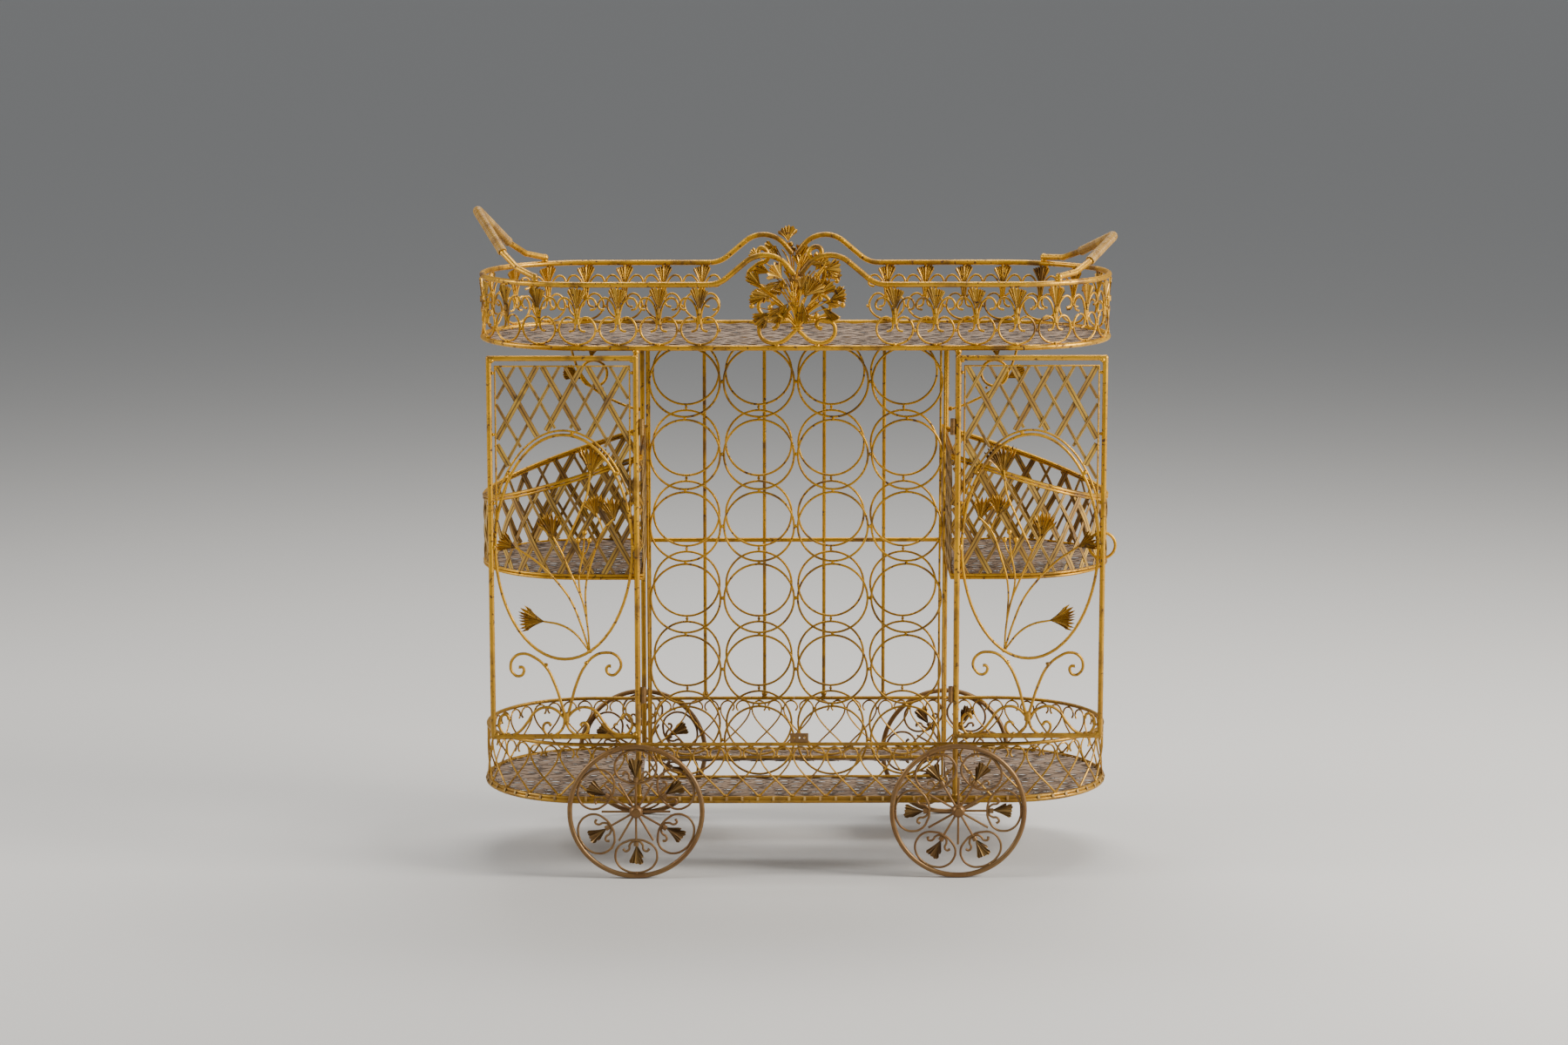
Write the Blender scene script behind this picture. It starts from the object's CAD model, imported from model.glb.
import math

import bpy
from mathutils import Matrix, Vector


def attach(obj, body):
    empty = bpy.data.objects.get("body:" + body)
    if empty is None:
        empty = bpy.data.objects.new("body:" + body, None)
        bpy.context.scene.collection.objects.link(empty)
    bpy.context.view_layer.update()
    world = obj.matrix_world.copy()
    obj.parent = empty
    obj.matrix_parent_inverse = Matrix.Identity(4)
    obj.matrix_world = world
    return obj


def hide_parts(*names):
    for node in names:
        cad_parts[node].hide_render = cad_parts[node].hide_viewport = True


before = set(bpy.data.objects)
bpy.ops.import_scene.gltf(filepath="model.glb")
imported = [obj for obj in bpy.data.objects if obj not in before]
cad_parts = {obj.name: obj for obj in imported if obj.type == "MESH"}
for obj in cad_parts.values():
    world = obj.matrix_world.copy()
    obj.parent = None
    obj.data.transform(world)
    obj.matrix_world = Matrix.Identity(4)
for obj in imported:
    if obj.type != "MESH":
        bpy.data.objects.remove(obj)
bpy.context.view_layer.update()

# ---- Camera ----
# A long lens on a tripod 4.9 m in front of the cart, a little to its left and higher than its
# handles, tipped 9.9 degrees down, as in the photograph.
bpy.ops.object.select_all(action="DESELECT")
bpy.ops.object.camera_add(
    location=(-0.065, -4.885, 1.297),
    rotation=(math.radians(90 - 9.9), 0, math.radians(-0.58)),
)
camera = bpy.context.object
camera.name = "camera"
camera.data.sensor_width = 36
camera.data.lens = 4256 / 1800 * 36
camera.data.clip_end = 150
bpy.context.scene.camera = camera

# ---- Studio ----
# A wide pale floor, a soft light well round on the right, a weaker one on the left, and a wide
# one above and behind that lines the wires. The floor is flat, so every side can be looked at.
bpy.ops.mesh.primitive_plane_add(size=160, location=(0, 0, 0))
floor = bpy.context.object
floor.name = "studio_floor"
paper = bpy.data.materials.new("studio_paper")
paper.use_nodes = True
paper_look = paper.node_tree.nodes["Principled BSDF"]
paper_look.inputs["Base Color"].default_value = (0.62, 0.61, 0.59, 1)
paper_look.inputs["Roughness"].default_value = 0.7
floor.data.materials.append(paper)


def soft_light(name, place, aim, size, power, colour):
    bpy.ops.object.light_add(type="AREA", location=place)
    light = bpy.context.object
    light.name = name
    light.data.shape = "RECTANGLE"
    light.data.size, light.data.size_y = size
    light.data.energy = power
    light.data.color = colour
    turn = (Vector(aim) - Vector(place)).to_track_quat("-Z", "Y")
    light.rotation_euler = turn.to_euler()


soft_light("light_right", (3.0, -0.9, 1.7), (0, 0, 0.45), (1.0, 1.3), 185, (1, 0.96, 0.90))
soft_light("light_left", (-2.9, -0.5, 1.9), (0, 0, 0.45), (1.0, 1.3), 70, (1, 0.97, 0.93))
soft_light("light_top", (0.3, 1.2, 2.8), (0, 0, 0.5), (2.4, 0.8), 70, (1, 0.98, 0.95))
world = bpy.data.worlds.new("studio_air")
world.use_nodes = True
world.node_tree.nodes["Background"].inputs["Color"].default_value = (0.85, 0.88, 0.92, 1)
world.node_tree.nodes["Background"].inputs["Strength"].default_value = 0.30
bpy.context.scene.world = world

# ---- Painted iron: rims, posts, rods and bars ----
# Bent and welded iron rod, brushed with mustard gold paint over a brown ground. The paint is
# worn thin in patches, darker and rustier towards the floor, with runs and small pits.


def blend_colours(nodes, links, share, first, second):
    mix = nodes.new("ShaderNodeMix")
    mix.data_type = "RGBA"
    for socket, value in ((mix.inputs[6], first), (mix.inputs[7], second)):
        if isinstance(value, tuple):
            socket.default_value = value
        else:
            links.new(value, socket)
    links.new(share, mix.inputs[0])
    return mix.outputs[2]


def noise_at(nodes, links, place, scale, detail=4.0, stretch=None):
    if stretch:
        pull = nodes.new("ShaderNodeMapping")
        pull.inputs["Scale"].default_value = stretch
        links.new(place, pull.inputs["Vector"])
        place = pull.outputs["Vector"]
    grain = nodes.new("ShaderNodeTexNoise")
    grain.inputs["Scale"].default_value = scale
    grain.inputs["Detail"].default_value = detail
    links.new(place, grain.inputs["Vector"])
    return grain.outputs["Fac"]


def between(nodes, links, value, low, high, out_low=0.0, out_high=1.0):
    span = nodes.new("ShaderNodeMapRange")
    for name, number in (
        ("From Min", low),
        ("From Max", high),
        ("To Min", out_low),
        ("To Max", out_high),
    ):
        span.inputs[name].default_value = number
    links.new(value, span.inputs["Value"])
    return span.outputs["Result"]


def painted_iron(name, paint, ground, rust, worn, metallic=0.7):
    look = bpy.data.materials.new(name)
    look.use_nodes = True
    nodes, links = look.node_tree.nodes, look.node_tree.links
    shader = nodes["Principled BSDF"]
    place = nodes.new("ShaderNodeTexCoord").outputs["Object"]
    patches = noise_at(nodes, links, place, 26, 6)
    specks = noise_at(nodes, links, place, 190, 4)
    brushed = noise_at(nodes, links, place, 420, 2)
    tone = noise_at(nodes, links, place, 9, 3)
    fresh = blend_colours(
        nodes,
        links,
        between(nodes, links, tone, 0.35, 0.65),
        paint,
        tuple(c * k for c, k in zip(paint, (0.72, 0.66, 0.55))) + (1,),
    )
    thin = between(nodes, links, patches, worn + 0.10, worn - 0.04)
    shade = blend_colours(nodes, links, thin, fresh, ground)
    pits = between(nodes, links, specks, 0.40, 0.33)
    shade = blend_colours(nodes, links, pits, shade, rust)
    height = nodes.new("ShaderNodeSeparateXYZ")
    links.new(place, height.inputs["Vector"])
    low = between(nodes, links, height.outputs["Z"], 0.42, 0.05, 0.0, 0.62)
    shade = blend_colours(nodes, links, low, shade, tuple(c * 0.5 + 0.03 for c in paint[:3]) + (1,))
    dirty = nodes.new("ShaderNodeMath")
    dirty.operation = "MULTIPLY"
    links.new(low, dirty.inputs[0])
    links.new(between(nodes, links, patches, 0.42, 0.58), dirty.inputs[1])
    shade = blend_colours(nodes, links, dirty.outputs["Value"], shade, rust)
    links.new(shade, shader.inputs["Base Color"])
    links.new(between(nodes, links, specks, 0.3, 0.7, 0.56, 0.34), shader.inputs["Roughness"])
    shader.inputs["Metallic"].default_value = metallic
    uneven = nodes.new("ShaderNodeBump")
    uneven.inputs["Strength"].default_value = 0.35
    uneven.inputs["Distance"].default_value = 0.0006
    links.new(specks, uneven.inputs["Height"])
    fine = nodes.new("ShaderNodeBump")
    fine.inputs["Strength"].default_value = 0.25
    fine.inputs["Distance"].default_value = 0.0003
    links.new(brushed, fine.inputs["Height"])
    links.new(uneven.outputs["Normal"], fine.inputs["Normal"])
    links.new(fine.outputs["Normal"], shader.inputs["Normal"])
    return look


gold_iron = painted_iron(
    "gold_iron", (0.68, 0.365, 0.022, 1), (0.22, 0.11, 0.022, 1), (0.12, 0.055, 0.02, 1), 0.37
)
rusty_iron = painted_iron(
    "rusty_iron", (0.40, 0.22, 0.05, 1), (0.16, 0.078, 0.028, 1), (0.11, 0.045, 0.02, 1), 0.46, 0.6
)


def finish_node(look, *names):
    for name in names:
        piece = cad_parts[name]
        for slot in piece.material_slots:
            slot.material = look


finish_node(
    gold_iron,
    "base_rim_upper",
    "posts",
    "rear_rods",
    "tray_rim",
    "tray_rail_left",
    "tray_rail_right",
    "handle_left",
    "handle_right",
    "rack_rings_front",
    "rack_rings_rear",
    "rack_bars",
    "door_left_frame",
    "door_right_frame",
    "ring_pull",
)
finish_node(rusty_iron, "axles", "catch_plate", "hinges_fixed")
for side in ("left", "right"):
    finish_node(rusty_iron, f"door_{side}_hinges")
    for end in ("front", "rear"):
        finish_node(rusty_iron, f"wheel_{end}_{side}_rim", f"wheel_{end}_{side}_hub")

# ---- Bent wire of the galleries ----
# Soft round iron wire, cold bent into scrolls and welded where it touches its neighbour. A
# wire is drawn here as its middle line with a round section, then made a closed mesh.


def wire(points, thickness, smooth=5, round_by=2, tips=1.0, closed=False):
    """Wire through points in millimetres; straight between them where smooth is 0."""
    bpy.ops.object.select_all(action="DESELECT")
    bpy.ops.curve.primitive_bezier_curve_add(location=(0, 0, 0))
    bent = bpy.context.object
    line = bent.data
    line.dimensions = "3D"
    line.splines.clear()
    run = line.splines.new("BEZIER" if smooth else "POLY")
    knots = run.bezier_points if smooth else run.points
    knots.add(len(points) - 1)
    for knot, place in zip(knots, points):
        spot = Vector(place) / 1000
        knot.co = spot if smooth else (*spot, 1)
        if smooth:
            knot.handle_left_type = knot.handle_right_type = "AUTO"
    knots[0].radius = knots[-1].radius = tips
    run.use_cyclic_u = closed
    run.use_smooth = True
    run.resolution_u = max(smooth, 1)
    line.twist_mode = "MINIMUM"
    line.bevel_depth = thickness / 2000
    line.bevel_resolution = round_by
    line.use_fill_caps = not closed
    bpy.ops.object.convert(target="MESH")
    return bpy.context.object


def joined(pieces, name, angle=50):
    """One object of several pieces: doubles merged, faces turned outwards, smoothed."""
    bpy.ops.object.select_all(action="DESELECT")
    for piece in pieces:
        piece.select_set(True)
    bpy.context.view_layer.objects.active = pieces[0]
    if len(pieces) > 1:
        bpy.ops.object.join()
    whole = bpy.context.object
    bpy.ops.object.mode_set(mode="EDIT")
    bpy.ops.mesh.select_mode(type="VERT")
    bpy.ops.mesh.select_all(action="SELECT")
    bpy.ops.mesh.remove_doubles(threshold=0.000004)
    bpy.ops.mesh.normals_make_consistent(inside=False)
    bpy.ops.object.mode_set(mode="OBJECT")
    bpy.ops.object.shade_smooth_by_angle(angle=math.radians(angle))
    whole.name = whole.data.name = name
    return whole


def copied(piece, place):
    """A copy with its own mesh, each corner moved by place(corner) or by a matrix."""
    bpy.ops.object.select_all(action="DESELECT")
    piece.select_set(True)
    bpy.context.view_layer.objects.active = piece
    bpy.ops.object.duplicate(linked=False)
    twin = bpy.context.object
    if isinstance(place, Matrix):
        twin.data.transform(place)
        if place.to_3x3().determinant() < 0:
            twin.data.flip_normals()
    else:
        for corner in twin.data.vertices:
            corner.co = place(corner.co)
    return twin


def thrown_away(*pieces):
    for piece in pieces:
        bpy.data.objects.remove(piece)


def painted(piece, look, body, slot, *nodes):
    """Gives a finished piece its look, its body and the solids it stands for."""
    piece.data.materials.clear()
    piece.data.materials.append(look)
    if nodes:
        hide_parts(*nodes)
    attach(piece, body)


half_straight, half_depth = 275.0, 139.0
round_end = math.pi * half_depth
whole_round = 4 * half_straight + 2 * round_end


def on_rim(s):
    """Place and heading on the oval rim, s millimetres from the middle of the front."""
    s %= whole_round
    if s < half_straight:
        return s, -half_depth, 0.0
    s -= half_straight
    if s < round_end:
        t = s / half_depth
        return half_straight + half_depth * math.sin(t), -half_depth * math.cos(t), t
    s -= round_end
    if s < 2 * half_straight:
        return half_straight - s, half_depth, math.pi
    s -= 2 * half_straight
    if s < round_end:
        t = s / half_depth
        return -half_straight - half_depth * math.sin(t), half_depth * math.cos(t), math.pi + t
    return s - round_end - half_straight, -half_depth, 0.0


def bent_to_rim(s, z):
    """A way to lay a flat pattern on the rim: its x runs along the rim, its y inwards."""

    def place(corner):
        x, y, heading = on_rim(s + corner.x * 1000)
        side = corner.y * 1000
        return Vector(
            (
                (x - side * math.sin(heading)) / 1000,
                (y + side * math.cos(heading)) / 1000,
                corner.z + z / 1000,
            )
        )

    return place


MIRROR = Matrix.Scale(-1, 4, (1, 0, 0))


def both_ways(piece):
    return [piece, copied(piece, MIRROR)]


def bead(place, size, squash=0.8):
    """A small lump of weld: a ball pulled out of round."""
    bpy.ops.object.select_all(action="DESELECT")
    bpy.ops.mesh.primitive_ico_sphere_add(subdivisions=2, radius=size / 2000)
    lump = bpy.context.object
    spot = Vector(place) / 1000
    for corner in lump.data.vertices:
        c = corner.co
        k = 1 + 0.16 * math.sin(2.1e3 * c.x + spot.x * 90) * math.cos(1.7e3 * c.z + spot.z * 70)
        corner.co = Vector((c.x * k, c.y * k, c.z * k * squash)) + spot
    return lump


# ---- Lower gallery of hearts ----
# Forty-five hearts of thin wire stand on the lower tray's rim: each wire leaves its
# neighbour's foot, crosses the middle and curls in under the thin upper rim.
heart_count = 45
heart_pitch = whole_round / heart_count
rim_z = 98.5
heart_points = [
    (-20.9, 0.2), (-11, 11), (0, 22), (10, 33), (17, 43), (20.4, 53), (18, 62),
    (11, 66), (4, 63), (1.6, 57), (4, 52),
]  # fmt: skip
heart_foot = rim_z + 9.5 / 2
half_heart = wire([(x, 0.4, z) for x, z in heart_points], 2.5, smooth=4, round_by=1, tips=1.15)
mirrored = Matrix.Scale(-1, 4, (1, 0, 0))
other_half = copied(half_heart, mirrored @ Matrix.Translation((0, -0.0008, 0)))
node = bead((21.9, 0, 0.9), 4.6)
node_top = bead((10.5, 0, 66.8), 3.4)
node_mid = bead((21.9, 0, 55), 3.2, 1.3)
one_heart = joined([half_heart, other_half, node, node_top, node_mid], "one_heart")
hearts = [
    copied(one_heart, bent_to_rim((i + 0.5) * heart_pitch - 6, heart_foot))
    for i in range(heart_count)
]
thrown_away(one_heart)
lower_gallery = joined(hearts, "lower_gallery_hearts")
painted(lower_gallery, gold_iron, "cart", "gold_iron", "base_gallery")

# ---- Upper gallery of scrolls ----
# Thirty units around the upper tray: one wire bent to a round loop with hooked ends, two
# horns tied to it by a collar, and a pleated leaf of sheet iron folded round their stem.
tray_foot = 700.5
unit_pitch = 52.5
loop_half = [
    (0, 1.2), (9, 2.5), (18, 8), (23.6, 19), (21, 30), (14, 36), (7, 35), (3.2, 30),
    (2.6, 24), (5, 19.5), (10.5, 18),
]  # fmt: skip
horn_points = [(1.8, 29), (2.2, 38), (4, 47), (9, 57), (17, 61.5), (24, 56), (23.5, 48), (17, 46)]


def fan_leaf(foot, turn, length, half_angle=27, pleats=7, depth=1.5, cup=2.5, y=0.0, sheet=0.55,
             roll=0.0, tip=0.0, notch=0.06):  # fmt: skip
    """Pleated leaf of sheet iron: it grows from foot, turned from straight up by turn
    degrees towards -x, rolled about its stalk and tipped forward, its edge uneven and
    notched at the bottom of each pleat."""
    across, out = pleats * 4, 5
    bpy.ops.object.select_all(action="DESELECT")
    bpy.ops.mesh.primitive_grid_add(x_subdivisions=across, y_subdivisions=out, size=1)
    leaf = bpy.context.object
    marks = leaf.data.uv_layers[0].data
    for loop in leaf.data.loops:
        c = leaf.data.vertices[loop.vertex_index].co
        marks[loop.index].uv = ((c.x + 0.5) * pleats, c.y + 0.5)
    way = Matrix.Rotation(math.radians(-turn), 3, "Y")
    way = way @ Matrix.Rotation(math.radians(tip), 3, "X") @ Matrix.Rotation(math.radians(roll), 3, "Z")
    own = foot[0] * 0.7 + foot[1] * 0.3
    for corner in leaf.data.vertices:
        u, v = corner.co.x * 2, corner.co.y + 0.5
        phase = (corner.co.x + 0.5) * pleats
        fold = abs((phase % 1) - 0.5) * 2
        deep = depth * (0.75 + 0.45 * math.sin(1.9 * math.floor(phase) + own))
        t = math.radians(half_angle) * (u + 0.05 * math.sin(5 * u + own)) * (0.5 + 0.5 * v**0.5)
        reach = length * (0.05 + 0.95 * v) * (1 - 0.12 * u**4)
        reach *= 1 - v**3 * (notch * fold + 0.05 * math.sin(3.1 * u + own))
        lift = deep * (0.1 + 0.9 * v) * (0.5 - fold) - cup * v * v * (1 - 0.4 * u * u)
        spot = way @ Vector((reach * math.sin(t), lift, reach * math.cos(t)))
        corner.co = (spot + Vector((foot[0], y, foot[1]))) / 1000
    plate = leaf.modifiers.new("plate", "SOLIDIFY")
    plate.thickness = sheet / 1000
    plate.offset = 0
    bpy.ops.object.modifier_apply(modifier="plate")
    return leaf


def leaf_paint(name, paint, groove):
    """The same gold paint as the wire, but worn dark along the bottom of each pleat."""
    look = painted_iron(name, paint, (0.26, 0.14, 0.035, 1), (0.13, 0.06, 0.025, 1), 0.36)
    nodes, links = look.node_tree.nodes, look.node_tree.links
    shader = nodes["Principled BSDF"]
    shade = shader.inputs["Base Color"].links[0].from_socket
    mark = nodes.new("ShaderNodeUVMap")
    mark.uv_map = "UVMap"
    parts = nodes.new("ShaderNodeSeparateXYZ")
    links.new(mark.outputs["UV"], parts.inputs["Vector"])
    wave = nodes.new("ShaderNodeMath")
    wave.operation = "PINGPONG"
    wave.inputs[1].default_value = 0.5
    links.new(parts.outputs["X"], wave.inputs[0])
    dark = between(nodes, links, wave.outputs["Value"], 0.15, 0.03, 0.0, 0.85)
    links.new(blend_colours(nodes, links, dark, shade, groove), shader.inputs["Base Color"])
    return look


leaf_gold = leaf_paint("leaf_gold", (0.68, 0.39, 0.045, 1), (0.06, 0.03, 0.012, 1))

loop_line = [(-x, 0, z) for x, z in reversed(loop_half[1:])] + [(x, 0, z) for x, z in loop_half]
loop = wire(loop_line, 2.9, smooth=4, tips=1.1)
horns = both_ways(wire([(x, 0, z) for x, z in horn_points], 2.9, smooth=4, tips=1.15))
stem = wire([(0, 0, 29), (0, 0, 40), (0, 0, 52)], 3.4, smooth=0)
collar = wire([(0, 0, 27.6), (0, 0, 29), (0, 0, 33), (0, 0, 34.4)], 7.2, smooth=0, round_by=3)
for corner in collar.data.vertices:
    corner.co.y *= 0.72
welds = [bead((0, 0, 0.9), 5.4), bead((0, 0.3, 75.2), 4.6), bead((26.2, 0, 19), 3.4, 1.4)]
one_unit = joined([loop, *horns, stem, collar, *welds], "one_unit")
one_leaf = joined(
    [
        fan_leaf((0, 43), 0, 32.4, 26, 7, 2.2, 1.4, -1.6),
        wire([(0, -1.4, 41), (0, -1.4, 49)], 4.6, 0),
    ],
    "one_leaf",
    35,
)
quarter = half_straight + round_end / 2
reach = int((quarter - 120) / unit_pitch)
unit_places = [(q + 1) * quarter + i * unit_pitch for q in (0, 2) for i in range(-reach, reach + 1)]
units = [copied(one_unit, bent_to_rim(s, tray_foot)) for s in unit_places]
leaves = [copied(one_leaf, bent_to_rim(s, tray_foot)) for s in unit_places]
thrown_away(one_unit, one_leaf)
upper_gallery = joined(units, "upper_gallery_scrolls")
painted(upper_gallery, gold_iron, "cart", "gold_iron", "tray_gallery")
gallery_leaves = joined(leaves, "upper_gallery_leaves", 35)
painted(gallery_leaves, leaf_gold, "cart", "gold_iron", "tray_gallery_leaves")

# ---- Ornament in the middle of each side ----
# Two large scrolls stand on the rim, tied together, and a spray of pleated leaves and berries
# on thin stems is bound on in front. On the front side three curls pass up behind the rails.
big_scroll = [
    (0.5, 723), (2, 720), (7, 715), (16, 707), (26, 703.5), (37, 704.5), (46, 711), (49, 720),
    (46, 729), (38, 734), (29, 733), (25, 728), (27, 724), (32, 722),
]  # fmt: skip
curl_left = [
    (-2, 726), (-20, 750), (-36, 767), (-49, 777), (-57, 781), (-62, 788), (-62, 794), (-56, 800),
    (-47, 806), (-39, 810), (-38, 819), (-43, 825), (-48, 825), (-51, 819),
]  # fmt: skip
curl_right = [
    (2, 726), (18, 752), (27, 774), (35, 790), (33, 801), (23, 808), (17, 815), (15, 820),
    (20, 826), (27, 827), (31, 823), (30, 817), (26, 816), (23, 819),
]  # fmt: skip
curl_low = [
    (20, 758), (28, 771), (27, 782), (27, 789), (31, 796), (37, 799), (42, 795), (43, 790), (39, 787),
]  # fmt: skip
# Each leaf: foot x and z, turn towards -x, length, place in front, half angle, roll, tip
front_leaves = [
    (-18.7, 787, 46, 19, -3, 42, 12, 12), (-32.3, 763, 67, 21, -4, 25, -38, 10),
    (-22.6, 782, 118, 16, -1, 26, 55, 0), (-19.8, 770, 92, 13, 1, 26, -48, -10),
    (4.9, 772, -3, 17, -5, 34, 25, 15), (8.6, 763, -34, 26, -3, 36, -12, 12),
    (27.7, 767, -40, 19, -4, 40, 15, 8), (41.7, 760, -64, 19, -2, 36, -18, 14),
    (28, 755, -134, 26, -1, 20, 40, -8), (34.2, 799, -84, 17, 2, 44, 10, 0),
    (37, 808, 99, 15, 3, 24, -50, 0), (6.3, 760, -176, 23, -4, 26, 22, -6),
    (-11.4, 756, 134, 25, -4, 30, -20, -8), (-10, 755, 162, 17, -2, 20, 45, 0),
    (-32.7, 745, 126, 22, -3, 36, -15, -12), (-24, 740, 108, 14, -5, 24, 50, 0),
    (-46.1, 776, 40, 19, 3, 34, 30, 0), (30, 758, -100, 20, 3, 24, 35, -4),
    (-40, 762, 88, 17, 3, 34, 20, 0),
]  # fmt: skip
front_berries = [
    (-7.3, 786.7), (-15.6, 777.7), (-6.3, 767.5), (-58.5, 752.1), (-37.2, 760.9), (-34.9, 750.6),
    (29.9, 761.4), (58.5, 753.4), (24.9, 739.8), (47.3, 772.6),
]  # fmt: skip
rear_leaves = [
    (-8.7, 807, 3, 17, 0, 46, 0, 0), (-24, 797.5, 74, 14, 0, 30, 20, 0),
    (-21, 787, 46, 13, 1, 32, 0, 0), (-46, 784, 60, 14, 1, 32, 0, 0),
    (8.4, 784, -14, 16, 0, 34, 10, 0), (7.2, 766, -11, 20, -2, 38, 0, 0),
    (-32, 745, 130, 20, -2, 34, 0, 0), (28, 767, -40, 19, -3, 38, 15, 0),
    (40, 757, -64, 19, -2, 36, 0, 0), (27, 755, -130, 23, -2, 26, 20, 0),
    (-12, 756, 134, 22, -3, 30, 0, 0), (7, 759, -174, 21, -4, 26, 0, 0),
    (-32, 763, 66, 20, -3, 30, 0, 0),
]  # fmt: skip
rear_berries = [
    (-4.5, 803), (-1, 796), (-16, 777), (-7, 767), (-58, 751), (30, 761), (58, 753), (25, 740),
]  # fmt: skip


def berry(place, size=6.8):
    """A smooth iron ball with a small nib at its tip."""
    bpy.ops.object.select_all(action="DESELECT")
    bpy.ops.mesh.primitive_uv_sphere_add(segments=14, ring_count=9, radius=size / 2000)
    ball = bpy.context.object
    for corner in ball.data.vertices:
        c = corner.co
        if c.z > 0.92 * size / 2000:
            c.z *= 1.08
        corner.co = Vector((c.x, c.y, c.z * 1.06)) + Vector(place) / 1000
    return ball


def ornament(name, side, curls, leaf_list, berry_list, *nodes):
    turn = Matrix.Translation((0, side * half_depth / 1000, 0)) @ Matrix.Diagonal((1, -side, 1, 1))
    right = wire([(x, 0, z) for x, z in big_scroll], 5.6, 6, 3, 1.12)
    pieces = both_ways(right)
    for points, size in curls:
        last = len(points) - 1
        line = [(x, 6 + 1.5 * math.sin(3.1 * i / last), z) for i, (x, z) in enumerate(points)]
        pieces.append(wire(line, size, 6, 3, 1.12))
    for x, end in ((1, 30), (-1, 24)):
        pieces.append(wire([(x * 2, 0.5, 722), (x * 1, -2.5, 742), (x * 5, -1, end + 744),
                            (x * 10, 0, 786), (x * 17, 0.5, 797)], 2.6, 5, 2, 0.8))
    pieces.append(wire([(-5.2, -3.6, 723), (0, -4.4, 724), (5.2, -3.6, 723), (5.6, 3, 723),
                        (0, 4.4, 722.6), (-5.6, 3, 723)], 3.2, 5, 2, closed=True))
    for x in (-26, 26):
        pieces.append(wire([(x, 0, 698.8), (x, 0, 703)], 5.2, 0, 3))
        pieces.append(bead((x, 0, 700.4), 7.4))
    low = (0, -2.6, 722)
    for x, z, lean, size, y, wide, roll, tip in leaf_list:
        line = [low, (x * 0.35, -4.6 + y * 0.3, 722 + (z - 722) * 0.55), (x, -4.6 + y, z)]
        pieces.append(wire(line, 1.9, 5, 1))
    for i, (x, z) in enumerate(berry_list):
        y = -5.5 - 2.5 * ((i * 5) % 3) / 2
        pieces.append(wire([low, (x * 0.3, -5.2, 722 + (z - 722) * 0.6), (x, y, z)], 1.4, 5, 1))
        pieces.append(berry((x, y, z)))
    iron = joined(pieces, name)
    iron.data.transform(turn)
    fans = [
        fan_leaf((x, z), lean, 1.3 * size, wide, max(5, round(size / 3)), 2.2,
                 2.6 if y < 0 else -1.2, -4.6 + y, 0.55, roll, tip, 0.12)
        for x, z, lean, size, y, wide, roll, tip in leaf_list
    ]
    sheet = joined(fans, name + "_leaves", 35)
    sheet.data.transform(turn)
    if side > 0:
        iron.data.flip_normals()
        sheet.data.flip_normals()
    painted(iron, gold_iron, "cart", "gold_iron", *nodes[:1])
    painted(sheet, leaf_gold, "cart", "gold_iron", *nodes[1:])


front_curls = ((curl_left, 6.2), (curl_right, 6.4), (curl_low, 5.6))
ornament("ornament_front_scrolls", -1, front_curls, front_leaves, front_berries,
         "ornament_front", "ornament_front_leaves")  # fmt: skip
ornament("ornament_rear_scrolls", 1, (), rear_leaves, rear_berries,
         "ornament_rear", "ornament_rear_leaves")  # fmt: skip

# ---- Woven decks and basket floors ----
# Flat rush strands run lengthwise over and under thin ribs, each with its own beat, packed side
# by side. They are dull grey brown with long fibres, dark where they dip under a rib.


def strip(line, width, across=2, crown=0.35, seam=0.0, seed=0.0):
    """Split cane or rush laid along line: (middle, sideways, up) vectors in millimetres."""
    n = len(line)
    bpy.ops.object.select_all(action="DESELECT")
    bpy.ops.mesh.primitive_grid_add(x_subdivisions=n - 1, y_subdivisions=across, size=1)
    cane = bpy.context.object
    run = [0.0]
    for (a, _, _), (b, _, _) in zip(line, line[1:]):
        run.append(run[-1] + (b - a).length)
    spots = []
    for corner in cane.data.vertices:
        i, v = round((corner.co.x + 0.5) * (n - 1)), corner.co.y * 2
        spots.append((i, v))
        middle, side, up = line[i]
        height = crown * (1 - v * v) - seam * max(0.0, 1 - abs(v) * 4)
        corner.co = (middle + side * (v * width / 2) + up * height) / 1000
    marks = cane.data.uv_layers[0].data
    for loop in cane.data.loops:
        i, v = spots[loop.vertex_index]
        marks[loop.index].uv = (run[i] / 1000 + seed * 7.3, 0.5 + v / 2)
    return cane


def thickened(pieces, name, thickness, angle=40):
    whole = joined(pieces, name, angle)
    plate = whole.modifiers.new("plate", "SOLIDIFY")
    plate.thickness = thickness / 1000
    plate.offset = 0
    bpy.ops.object.modifier_apply(modifier="plate")
    bpy.ops.object.mode_set(mode="EDIT")
    bpy.ops.mesh.select_all(action="SELECT")
    bpy.ops.mesh.normals_make_consistent(inside=False)
    bpy.ops.object.mode_set(mode="OBJECT")
    bpy.ops.object.shade_smooth_by_angle(angle=math.radians(angle))
    return whole


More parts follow.
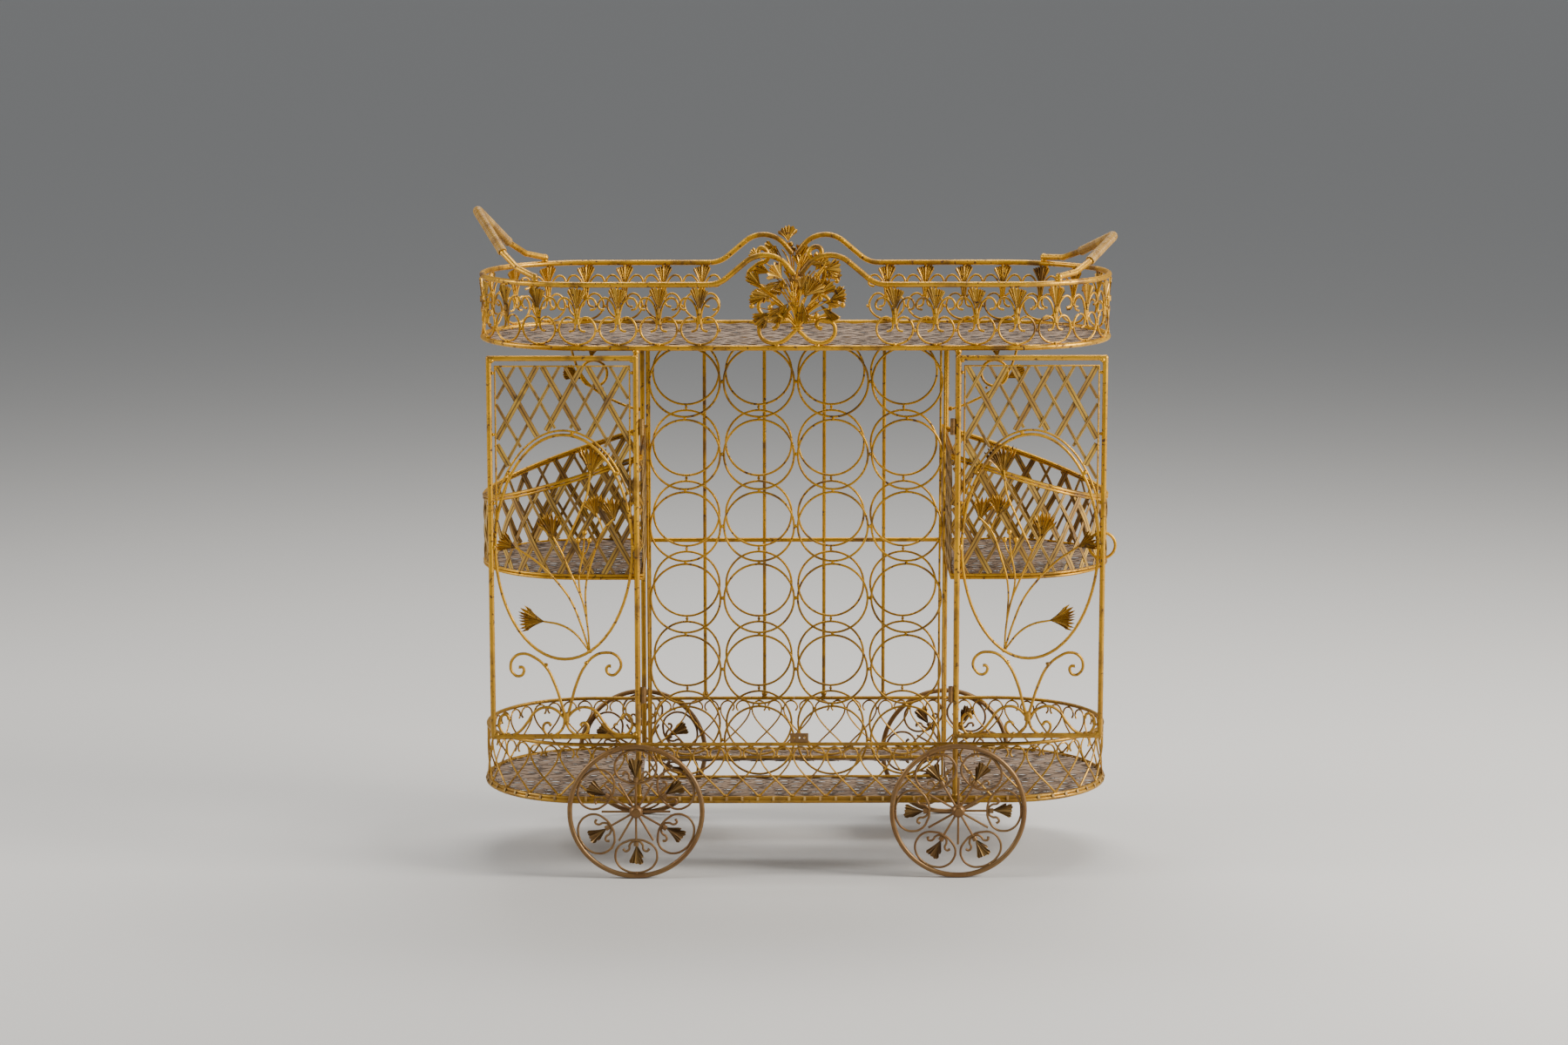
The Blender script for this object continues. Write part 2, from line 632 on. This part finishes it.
def strip_fibres(name, pale, dark, line_tone, seam=False, rough=0.6, dips=0.0):
    """Long fibres along the strip, dark at its edges, down its seam and where it dips."""
    look = bpy.data.materials.new(name)
    look.use_nodes = True
    nodes, links = look.node_tree.nodes, look.node_tree.links
    shader = nodes["Principled BSDF"]
    mark = nodes.new("ShaderNodeUVMap")
    mark.uv_map = "UVMap"
    fibre = noise_at(nodes, links, mark.outputs["UV"], 6, 5, (9, 2.2, 1))
    blotch = noise_at(nodes, links, mark.outputs["UV"], 3, 3, (5, 0.1, 1))
    place = nodes.new("ShaderNodeTexCoord").outputs["Object"]
    worn = noise_at(nodes, links, place, 34, 5)
    shade = blend_colours(nodes, links, between(nodes, links, blotch, 0.36, 0.62), pale, dark)
    shade = blend_colours(
        nodes, links, between(nodes, links, fibre, 0.52, 0.74, 0, 0.75), shade, line_tone
    )
    shade = blend_colours(
        nodes, links, between(nodes, links, worn, 0.42, 0.33, 0, 0.6), shade, line_tone
    )
    parts = nodes.new("ShaderNodeSeparateXYZ")
    links.new(mark.outputs["UV"], parts.inputs["Vector"])
    middle = nodes.new("ShaderNodeMath")
    middle.operation = "SUBTRACT"
    middle.inputs[1].default_value = 0.5
    links.new(parts.outputs["Y"], middle.inputs[0])
    off = nodes.new("ShaderNodeMath")
    off.operation = "ABSOLUTE"
    links.new(middle.outputs["Value"], off.inputs[0])
    edge = between(nodes, links, off.outputs["Value"], 0.40, 0.5, 0, 0.7)
    shade = blend_colours(nodes, links, edge, shade, line_tone)
    if seam:
        split = between(nodes, links, off.outputs["Value"], 0.15, 0.05, 0, 0.85)
        shade = blend_colours(nodes, links, split, shade, line_tone)
    if dips:
        turn = nodes.new("ShaderNodeMath")
        turn.operation = "MULTIPLY"
        turn.inputs[1].default_value = 1000 * math.pi / dips
        links.new(parts.outputs["X"], turn.inputs[0])
        wave = nodes.new("ShaderNodeMath")
        wave.operation = "COSINE"
        links.new(turn.outputs["Value"], wave.inputs[0])
        under = between(nodes, links, wave.outputs["Value"], -0.15, -0.8, 0, 0.85)
        shade = blend_colours(nodes, links, under, shade, line_tone)
    links.new(shade, shader.inputs["Base Color"])
    shader.inputs["Roughness"].default_value = rough
    shader.inputs["Specular IOR Level"].default_value = 0.35
    raised = nodes.new("ShaderNodeBump")
    raised.inputs["Strength"].default_value = 0.5
    raised.inputs["Distance"].default_value = 0.0004
    links.new(fibre, raised.inputs["Height"])
    links.new(raised.outputs["Normal"], shader.inputs["Normal"])
    return look


RIB = 17.0
rush = strip_fibres(
    "rush", (0.37, 0.265, 0.185, 1), (0.20, 0.135, 0.09, 1), (0.05, 0.032, 0.02, 1), False, 0.7, RIB
)


def chance(*numbers):
    """A fixed value from 0 to 1 for a strand, so that each run weaves the same deck."""
    return (math.sin(sum(k * v for k, v in zip((12.9898, 78.233, 37.719), numbers))) * 43758.5453) % 1


def woven_deck(name, ends, y_low, y_high, z, body, *nodes):
    """ends(y) gives the two ends of the strand at y, or a list of such pairs."""
    count = max(1, round((y_high - y_low) / 6.6))
    row = (y_high - y_low) / count
    strands, ribs = [], {}
    for k in range(count):
        y = y_low + (k + 0.5) * row
        shift = 2 * RIB * (round(40 * chance(k, 4)) + chance(k, 5) + 30)
        for x0, x1 in ends(y):
            if x1 - x0 < 6:
                continue
            n = max(4, round((x1 - x0) / (RIB / 4)))
            line = []
            for i in range(n + 1):
                x = x0 + (x1 - x0) * i / n
                wave = math.cos(math.pi * (x + shift) / RIB)
                sway = 0.35 * math.sin(x / 23 + 9 * chance(k, 1))
                line.append((Vector((x, y + sway, z + 0.66 * wave)), Vector((0, 1, 0)),
                             Vector((0, 0, 1))))  # fmt: skip
            wide = row * (0.84 + 0.16 * chance(k, 2))
            strand = strip(line, wide, 2, 0.40)
            for mark in strand.data.uv_layers[0].data:
                mark.uv.x += (x0 + shift) / 1000
            strands.append(strand)
            i = math.ceil((x0 + 2) / RIB - 0.5)
            while (i + 0.5) * RIB < x1 - 2:
                low, high = ribs.get(i, (y, y))
                ribs[i] = (min(low, y - row / 2), max(high, y + row / 2))
                i += 1
    deck = thickened(strands, name, 0.75)
    painted(deck, rush, body, "rush_deck", *nodes)
    stakes = joined(
        [
            wire([((i + 0.5) * RIB, a, z - 0.5), ((i + 0.5) * RIB, b, z - 0.5)], 1.4, 0, 1)
            for i, (a, b) in sorted(ribs.items())
            if b - a > 3
        ],
        name + "_ribs",
    )
    painted(stakes, rush, body, "rush_deck")


def oval_ends(edge):
    def ends(y):
        span = half_straight + math.sqrt(max(0.0, edge * edge - y * y))
        return [(-span, span)]

    return ends


woven_deck("upper_deck", oval_ends(135.0), -134.0, 134.0, 696.0, "cart", "tray_deck")


def lower_side(side):
    def ends(y):
        span = half_straight + math.sqrt(max(0.0, 134.0**2 - y * y))
        return [(205.2, span)] if side > 0 else [(-span, -205.2)]

    return ends


woven_deck("lower_deck_left", lower_side(-1), -133, 133, 100.5, "cart", "base_deck_left")
woven_deck("lower_deck_right", lower_side(1), -133, 133, 100.5, "cart", "base_deck_right")
woven_deck(
    "lower_deck_front", lambda _: [(-204.6, 204.6)], -133, -30.9, 100.5, "cart", "base_deck_front"
)
woven_deck(
    "lower_deck_rear", lambda _: [(-204.6, 204.6)], 68.4, 133, 100.5, "cart", "base_deck_rear"
)

# ---- Lower tray's bound rim ----
# Two rods side by side and a third on top, tied all round with split cane, so the rim looks
# ribbed; the hearts' feet are welded to its top. The deck lies inside it.
rod_steps = 132
cane_gold = strip_fibres(
    "cane_gold", (0.50, 0.31, 0.075, 1), (0.32, 0.18, 0.05, 1), (0.09, 0.045, 0.018, 1), rough=0.5
)


def round_rod(inset, z, thickness):
    points = []
    for i in range(rod_steps):
        x, y, t = on_rim(whole_round * i / rod_steps)
        points.append((x - inset * math.sin(t), y + inset * math.cos(t), z))
    return wire(points, thickness, 0, 3, closed=True)


bundle = joined(
    [round_rod(-1.6, 96.6, 5.6), round_rod(2.2, 96.4, 4.6), round_rod(0.0, 100.6, 5.2)], "base_bundle"
)
painted(bundle, gold_iron, "cart", "bound_rim", "base_rim_lower")
ties = []
tie_count = 96
for i in range(tie_count):
    x, y, t = on_rim(whole_round * (i + 0.5) / tie_count)
    ring = []
    for k in range(9):
        a = 2 * math.pi * k / 8
        away, up = 4.55 * math.sin(a), 4.35 * math.cos(a)
        ring.append(
            (
                Vector((x + away * math.sin(t), y - away * math.cos(t), rim_z + up)),
                Vector((math.cos(t), math.sin(t), 0)),
                Vector((math.sin(a) * math.sin(t), -math.sin(a) * math.cos(t), math.cos(a))),
            )
        )
    ties.append(strip(ring, 3.4, 1, 0.1, 0, chance(i, 5)))
painted(thickened(ties, "base_bundle_ties", 0.5), cane_gold, "cart", "bound_rim")

# ---- Handles' grips ----
# Fine round cane wound tightly round each handle's bent end, turn against turn, with a cuff
# of two thicker turns where it starts and stops.
grip_cane = strip_fibres(
    "grip_cane", (0.50, 0.29, 0.06, 1), (0.33, 0.18, 0.045, 1), (0.12, 0.06, 0.02, 1), rough=0.42
)


handle_x, handle_out, handle_half, handle_bend, rail_z = 382, 37, 66, 15, 779


def grip(name, side, lift, node):
    """lift: how far the wound part starts above the rail, and its tip above that."""
    slope = math.atan2(lift[1], handle_out)
    reach_u = math.hypot(lift[1], handle_out) - handle_bend
    lean = math.atan2(handle_half, reach_u)
    lean -= math.asin(handle_bend / math.hypot(reach_u, handle_half))
    leg = math.sqrt(reach_u**2 + handle_half**2 - handle_bend**2)
    turn = handle_bend * (math.pi - 2 * lean)

    def middle(s):
        if s < leg:
            return s * math.cos(lean), s * math.sin(lean) - handle_half, lean
        if s < leg + turn:
            h = lean + (s - leg) / handle_bend
            return reach_u + handle_bend * math.sin(h), -handle_bend * math.cos(h), h
        r = 2 * leg + turn - s
        return r * math.cos(lean), handle_half - r * math.sin(lean), math.pi - lean

    def around(s, angle, radius):
        u, v, h = middle(s)
        u -= radius * math.cos(angle) * math.sin(h)
        v += radius * math.cos(angle) * math.cos(h)
        w = radius * math.sin(angle)
        return (
            side * (handle_x + u * math.cos(slope) - w * math.sin(slope)),
            v,
            rail_z + lift[0] + u * math.sin(slope) + w * math.cos(slope),
        )

    whole = 2 * leg + turn
    first, last, rings = 3.0, whole - 3.0, 12
    turns = round((last - first) / 2.3)
    wound = wire(
        [
            around(first + (last - first) * i / (turns * rings), 2 * math.pi * i / rings, 5.0)
            for i in range(turns * rings + 1)
        ],
        2.5, 0, 1,
    )
    cuffs = []
    for s in (3.2, 5.6, whole - 5.6, whole - 3.2):
        cuffs.append(
            wire([around(s, 2 * math.pi * i / 16, 5.1) for i in range(16)], 2.6, 0, 1, closed=True)
        )
    piece = joined([wound, *cuffs], name, 60)
    painted(piece, grip_cane, "cart", "grip_cane", node)


grip("grip_wrap_left", -1, (34, 49), "grip_left")
grip("grip_wrap_right", 1, (22, 27), "grip_right")

# ---- End baskets ----
# Each basket hangs between the posts and the tray's end: a wall of split cane laced over and
# under on the slant, three rods bound along its sloping edge and round its floor.
basket_cane = strip_fibres(
    "basket_cane", (0.60, 0.36, 0.055, 1), (0.33, 0.18, 0.04, 1), (0.075, 0.036, 0.013, 1), True, 0.42
)
bowl_in, bowl_mid, bowl_round = 201.5, 282.0, 133.4
bowl_floor, bowl_top, bowl_fall, post_x = 398, 556, 0.33, 208


def bowl(s, inset=0.0):
    """Place and outward heading on a basket's wall, s millimetres from its front corner."""
    r = bowl_round - inset
    straight = bowl_mid - bowl_in - inset
    if s < straight:
        return bowl_in + inset + s, -r, 0.0, -1.0
    s -= straight
    if s < math.pi * r:
        t = s / r
        return bowl_mid + r * math.sin(t), -r * math.cos(t), math.sin(t), -math.cos(t)
    s -= math.pi * r
    return bowl_mid - s, r, 0.0, 1.0


def bowl_length(inset=0.0):
    return 2 * (bowl_mid - bowl_in - inset) + math.pi * (bowl_round - inset)


def bowl_edge(x):
    return bowl_top - bowl_fall * (x - post_x)


SLOPE = math.radians(61)
PITCH = 29.0


def laced(span, inside, lay, low, wave=0.7):
    """Slanting strips in both directions over a panel of width span, over and under."""
    c, s = math.cos(SLOPE), math.sin(SLOPE)
    strips = []
    count = int(span / PITCH) + 16
    for way in (1, -1):
        for i in range(-16, count):
            start = (i + 0.2) * PITCH if way > 0 else span - (i + 0.2) * PITCH
            wide = 7.6 if i % 2 == 0 else 3.9
            run, runs = [], []
            for k in range(0, 520, 4):
                t = k - 20
                x, z = start + way * t * c, low + t * s
                if 0 <= x <= span and inside(x, z):
                    run.append((x, z, t))
                elif run:
                    runs.append(run)
                    run = []
            if run:
                runs.append(run)
            for run in runs:
                if len(run) < 3:
                    continue
                line = []
                for x, z, t in run:
                    phase = (span - 2 * c * t) / PITCH - 0.4
                    lift = way * wave * math.cos(math.pi * phase)
                    line.append(lay(x, z, lift, way * c, s))
                strips.append(
                    strip(line, wide, 4 if wide > 5 else 2, 0.4, 0.5 if wide > 5 else 0,
                          chance(i, way, span))
                )
    return strips


def basket(name, side, body="cart"):
    flip = Matrix.Identity(4) if side > 0 else MIRROR
    length = bowl_length()

    def lay(s, z, lift, along, up):
        x, y, ox, oy = bowl(s)
        out = Vector((ox, oy, 0))
        heading = Vector((-oy, ox, 0))
        return (
            Vector((x, y, z)) + out * lift,
            (heading * up - Vector((0, 0, along))).normalized(),
            out,
        )

    def inside(s, z):
        x, y, _, _ = bowl(s)
        return bowl_floor <= z <= bowl_edge(x) - 4

    strips = laced(length, inside, lay, bowl_floor - 2)

    def lay_flat(s, z, lift, along, up):
        return (
            Vector((bowl_in - lift, s - 131, z)),
            Vector((0, up, -along)).normalized(),
            Vector((-1, 0, 0)),
        )

    strips += laced(
        262.0, lambda _, z: bowl_floor <= z <= bowl_edge(bowl_in) - 4, lay_flat, bowl_floor - 2
    )
    wall = thickened(strips, name + "_lattice", 0.9)
    if side < 0:
        wall.data.transform(flip)
        wall.data.flip_normals()
    painted(wall, basket_cane, body, "cane_strip", f"basket_{name.split('_')[1]}_wall")

    def hoop(inset, level, thickness):
        points = []
        count = 64
        for i in range(count + 1):
            x, y, ox, oy = bowl(bowl_length(inset) * i / count, inset)
            points.append((side * x, y, level(x)))
        return wire(points, thickness, 0, 2, closed=True)

    rods = [
        hoop(-0.4, lambda x: bowl_edge(x) - 2.4, 4.0),
        hoop(-0.3, lambda x: bowl_edge(x) - 6.4, 3.6),
        hoop(3.0, lambda x: bowl_edge(x) - 2.2, 4.0),
        hoop(-0.3, lambda _: 393.9, 3.8),
        hoop(-0.3, lambda _: 397.9, 3.8),
        hoop(3.2, lambda _: 394.4, 4.0),
    ]
    painted(joined(rods, name + "_rods"), gold_iron, body, "cane_strip")

    def ends(y):
        r = 130.0
        span = bowl_mid + math.sqrt(max(0.0, r * r - y * y))
        return [(bowl_in + 3, span)] if side > 0 else [(-span, -bowl_in - 3)]

    woven_deck(name + "_floor", ends, -129.5, 129.5, 397.5, body,
               f"basket_{name.split('_')[1]}_floor")


basket("basket_left", -1)
basket("basket_right", 1)

# ---- Doors ----
# Each door is an iron frame with a round-wire ellipse in it. Split cane is laced over the
# window above the ellipse; below it two risers, two S scrolls and two hooks hold it up, and a
# spray of six fan-shaped leaves and three berries grows across it.
DOOR_MID, DOOR_Y, DOOR_LOW = -302.8, -147.5, 186.0
ellipse_z = 251.5


def on_door(pieces, name, look, slot, *nodes, angle=50, plate=0.0):
    """Door patterns are drawn for the left door, and mirrored for the right one."""
    whole = thickened(pieces, name, plate, angle) if plate else joined(pieces, name, angle)
    whole.data.transform(
        Matrix.Translation((DOOR_MID / 1000, DOOR_Y / 1000, DOOR_LOW / 1000))
    )
    right = copied(whole, MIRROR)
    right.name = right.data.name = name.replace("left", "right")
    painted(whole, look, "door_left", slot, *nodes)
    painted(right, look, "door_right", slot, *[n.replace("left", "right") for n in nodes])


def in_window(x, z, edge=1.2):
    if not (abs(x) <= 87.0 - edge and 300 <= z <= 490.0 - edge):
        return False
    return (x / (94.3 + edge)) ** 2 + ((z - ellipse_z) / (153.5 + edge)) ** 2 >= 1


def door_lay(x, z, lift, along, up):
    return Vector((x - 87, -lift, z)), Vector((up, 0, -along)).normalized(), Vector((0, -1, 0))


cane_pieces = laced(174.0, lambda x, z: in_window(x - 87, z), door_lay, 296)
on_door(
    cane_pieces, "door_left_cane", basket_cane, "cane_strip", "door_left_lattice",
    angle=40, plate=0.9,
)

window = [(-86.6, 0, 276), (-86.6, 0, 488.8), (86.6, 0, 488.8), (86.6, 0, 276)]
outer = [
    (94.6 * math.cos(a), 0, ellipse_z + 153.6 * math.sin(a))
    for a in [math.radians(20 + 140 * k / 40) for k in range(41)]
]
outer = [p for p in outer if abs(p[0]) < 86.6]
thin = [wire(window, 2.9, 0, 2), wire(outer, 2.9, 0, 2)]
for x in (-90, 90):
    for z in (310, 400, 480):
        thin.append(wire([(x - 3.5, 0, z), (x + 3.5, 0, z)], 2.9, 0, 2))
        thin.append(bead((x, 0, z), 4.4, 1.1))
ellipse = wire(
    [
        (88.8 * math.cos(math.radians(6 * k)), 0, ellipse_z + 148 * math.sin(math.radians(6 * k)))
        for k in range(60)
    ],
    4.0, 0, 3, closed=True,
)
for x in (-90.6, 90.6):
    thin.append(bead((x, 0, ellipse_z), 6.6, 1.4))
thin += [
    bead((12, 0, 401.8), 6.0, 0.9), bead((-70, 0, 349), 5.6, 1.2), bead((70, 0, 349), 5.6, 1.2),
]  # fmt: skip
on_door([ellipse, *thin], "door_left_ellipse", gold_iron, "gold_iron", "door_left_arch")

riser_left = [
    (0, 25), (-4, 40), (-13.5, 70), (-25, 93), (-40, 106), (-54, 111), (-66, 106.5), (-71, 94),
    (-68, 85), (-60, 81), (-54, 86), (-55, 92.5), (-60.5, 93),
]  # fmt: skip
riser_right = [
    (2, 25), (6.5, 41), (14.5, 70), (27, 96), (38, 107.5), (51, 112), (66, 109), (73, 97),
    (70, 88), (61, 82), (54, 88), (56, 94), (60, 94),
]  # fmt: skip
hook = [(1, 24), (3, 13), (11, 3.8), (19, 0.9), (27.6, 6), (28.4, 16), (23, 18.6), (19, 14.4)]
wave_left = [
    (-1.5, 25), (-13, 36), (-26, 39.3), (-39, 34), (-50, 19), (-61, 6.4), (-70, 2.4), (-79, 2.4),
    (-85.6, 10), (-87, 19), (-83, 28), (-77, 29), (-74, 23),
]  # fmt: skip


def flat_line(points, y=0.0):
    return [(x, y, z) for x, z in points]


scrolls = [wire(flat_line(riser_left), 3.9, 5, 2, 1.15), wire(flat_line(riser_right), 3.9, 5, 2, 1.15)]
scrolls += both_ways(wire(flat_line(hook), 3.7, 5, 2, 1.15))
scrolls += both_ways(wire(flat_line(wave_left), 3.9, 5, 2, 1.15))
scrolls.append(wire([(0.8, 0, 20), (0.8, 0, 22), (0.8, 0, 30), (0.8, 0, 32)], 8.6, 0, 3))
scrolls += [
    bead((-25, 0, 96), 6.4), bead((28, 0, 98.5), 6.4), bead((-19, 0, 3), 5.4), bead((19, 0, 3), 5.4),
    bead((-75, 0, 3.6), 5.6), bead((75, 0, 3.6), 5.6), bead((-89, 0, 15), 4.6), bead((89, 0, 15), 4.6),
]  # fmt: skip
on_door(scrolls, "door_left_scrollwork", gold_iron, "gold_iron", "door_left_scrolls")

stalks = [
    ([(32, 113), (12, 138), (-6, 148.5), (-28, 153)], 3.0),
    ([(32, 113), (20, 152), (8, 181), (-5, 200), (-33, 230), (-63, 251)], 3.0),
    ([(32, 113), (29, 152), (23, 181), (14, 204), (7, 220), (-3, 244), (-14, 265)], 2.8),
    ([(-3, 244), (8, 268), (18, 291), (31, 323), (35, 352)], 2.8),
    ([(23, 181), (19, 204), (20, 220), (24, 239), (27, 268)], 2.6),
    ([(24, 239), (29, 246), (33, 258)], 2.0),
    ([(24, 239), (20, 248), (18, 258)], 2.0),
    ([(29, 152), (28, 200), (37, 236), (51, 273), (67, 291)], 2.8),
    ([(51, 273), (47, 285), (42, 296)], 2.4),
]
sprig_y = 3.5
sprig = []
for i, (line, size) in enumerate(stalks):
    last = len(line) - 1
    sprig.append(
        wire([(x, sprig_y + (0.8 * math.sin(2 + i) * k / last), z) for k, (x, z) in enumerate(line)],
             size, 6, 2, 0.85)
    )
sprig += [berry((x, sprig_y, z), 6.8) for x, z in ((27, 270.5), (33, 260.5), (18, 260.5))]
sprig.append(bead((32, sprig_y - 1.6, 113.6), 7.4, 0.8))
on_door(sprig, "door_left_spray", gold_iron, "gold_iron", "door_left_sprig")
door_leaves = [
    (-26, 153, 82, 36, 9), (-61, 250, 64, 29, 8), (-14, 259, 10, 38, 9), (35, 343, -8, 44, 9),
    (66, 284, 10, 34, 8), (42, 289, 8, 32, 8),
]  # fmt: skip
fans = [
    fan_leaf((x, z), lean, size, 34, pleats, 3.0, 2.4, sprig_y, 0.7, notch=0.26)
    for x, z, lean, size, pleats in door_leaves
]
on_door(fans, "door_left_leaves", leaf_gold, "gold_iron", angle=35)

# ---- Wheels ----
# A hoop of round iron with a hub on wire spokes. Six scrolls lie in it, each one wire bent
# nearly round, its two ends crossed at a collar near the hub and hooked outward; a folded leaf
# grows from the collar. The hoops are more rust than paint.
leaf_brown = leaf_paint("leaf_brown", (0.44, 0.26, 0.06, 1), (0.05, 0.026, 0.012, 1))
petal = [
    (82.4, 0), (80, 13), (72, 23.5), (59, 27.4), (47, 23), (40.5, 13), (38, 4), (39.5, -3.5),
    (45, -8.5), (51, -9.5), (53.5, -14), (50, -17),
]  # fmt: skip
petal_line = [(x, -z, 0) for x, z in reversed(petal[1:])] + [(x, z, 0) for x, z in petal]
petal_wire = wire(petal_line, 3.1, 5, 2, 1.2)
petal_tie = wire([(40.5, 0, 0), (41.5, 0, 0), (45, 0, 0), (46, 0, 0)], 7.0, 0, 2)
petal_welds = [bead((83.0, 0, 0), 4.6, 1.0), bead((39, 0, 0), 4.8)]
one_petal = joined([petal_wire, petal_tie, *petal_welds], "one_petal")
petal_fan = fan_leaf((0, 45), 0, 27, 24, 5, 2.4, 0.6, 0.0, 0.6)
quarter_turn = math.radians(-90)
laid = Matrix.Rotation(quarter_turn, 4, "Z") @ Matrix.Rotation(quarter_turn, 4, "X")
petal_fan.data.transform(laid)
petal_side = fan_leaf((0, 43), 16, 22, 13, 3, 1.8, -1.4, 1.4, 0.6)
petal_side.data.transform(laid)
one_fan = joined([petal_fan, petal_side], "one_fan", 35)
for x, side in ((-1, "left"), (1, "right")):
    for y, end in ((-1, "front"), (1, "rear")):
        hub = Matrix.Translation((x * 0.211, y * 0.169, 0.09))
        stand = hub @ Matrix.Rotation(math.radians(90), 4, "X")
        steps = [
            stand @ Matrix.Rotation(math.radians(60 * k + (30 if x < 0 else 0)), 4, "Z")
            for k in range(6)
        ]
        wheel = f"wheel_{end}_{side}"
        iron = joined([copied(one_petal, step) for step in steps], wheel + "_petals")
        painted(iron, rusty_iron, wheel, "rusty_iron", wheel + "_scrolls")
        sheet = joined([copied(one_fan, step) for step in steps], wheel + "_leaves", 35)
        painted(sheet, leaf_brown, wheel, "rusty_iron")
thrown_away(one_petal, one_fan)

# ---- Back brackets ----
# On the back, a scroll runs out from each post under the upper tray, with a ring in its bend
# and two leaves; only a corner of each shows past the doors in the photograph.
top = 693.3
bracket = [(1.8, -116), (18, -111), (34, -104), (56, -92), (76, -72), (90, -42), (95.5, -2)]
pieces = [wire([(x + 211.7, half_depth, z + top) for x, z in bracket], 3.6, 5, 2)]
ring = []
for k in range(24):
    t = math.radians(15 * k)
    ring.append((273.7 + 18 * math.cos(t), half_depth, 627.3 + 18 * math.sin(t)))
pieces.append(wire(ring, 4.0, 0, 3, closed=True))
for place, size, tall in (
    ((214, half_depth, 578), 6, 1.2),
    ((306.9, half_depth, 690.6), 5.4, 0.9),
    ((263, half_depth, 606.8), 5, 0.8),
):
    pieces.append(bead(place, size, tall))
right_bracket = joined(pieces, "rear_bracket_right")
left_bracket = copied(right_bracket, MIRROR)
left_bracket.name = left_bracket.data.name = "rear_bracket_left"
painted(right_bracket, gold_iron, "cart", "gold_iron", "rear_brackets")
painted(left_bracket, gold_iron, "cart", "gold_iron")
fans = joined(
    [
        fan_leaf((289.7, 619.3), -62, 28, 30, 9, 2.4, 2.0, half_depth),
        fan_leaf((277.7, 647.3), 10, 26, 30, 9, 2.4, 2.0, half_depth),
    ],
    "rear_bracket_leaves_right", 35,
)
left_fans = copied(fans, MIRROR)
left_fans.name = left_fans.data.name = "rear_bracket_leaves_left"
for piece in (fans, left_fans):
    painted(piece, leaf_gold, "cart", "gold_iron")

# ---- Welds ----
# Lumps of weld where the posts and rods meet the rims, at the doors' corners, and where the
# rings of the rack touch each other.
lumps = []
for x in (-post_x, post_x):
    for y in (-half_depth, half_depth):
        lumps += [bead((x, y, z), d, 0.8) for z, d in ((104, 9), (173, 8.6), (692.6, 9.4))]
for x in (-123, -41, 41, 123):
    for z, size in ((692.8, 6.8), (396, 7.2), (176, 6.6)):
        lumps.append(bead((x, half_depth, z), size))
columns, rows, column_pitch, row_pitch, rings_y = 4, 6, 98, 97, -32
for k in range(columns):
    for j in range(rows):
        x, z = (k - 1.5) * column_pitch, 153.9 + row_pitch * j
        if k < columns - 1:
            lumps.append(bead((x + column_pitch / 2, rings_y, z), 4.0, 1.3))
        if j < rows - 1:
            lumps.append(bead((x, rings_y, z + row_pitch / 2), 4.2, 0.9))
for x in (-338, 338):
    for y in (-124, 124):
        lumps.append(bead((x, y, 783.4), 9.0, 0.7))
painted(joined(lumps, "weld_lumps"), gold_iron, "cart", "gold_iron")
lumps = []
for x in (-94.5, 94.5):
    for z in (0, 499):
        lumps.append(bead((x * 0.96, 0, z * 0.99 + 2.5), 8.4, 0.9))
on_door(lumps, "door_left_welds", gold_iron, "gold_iron")

bpy.context.view_layer.update()
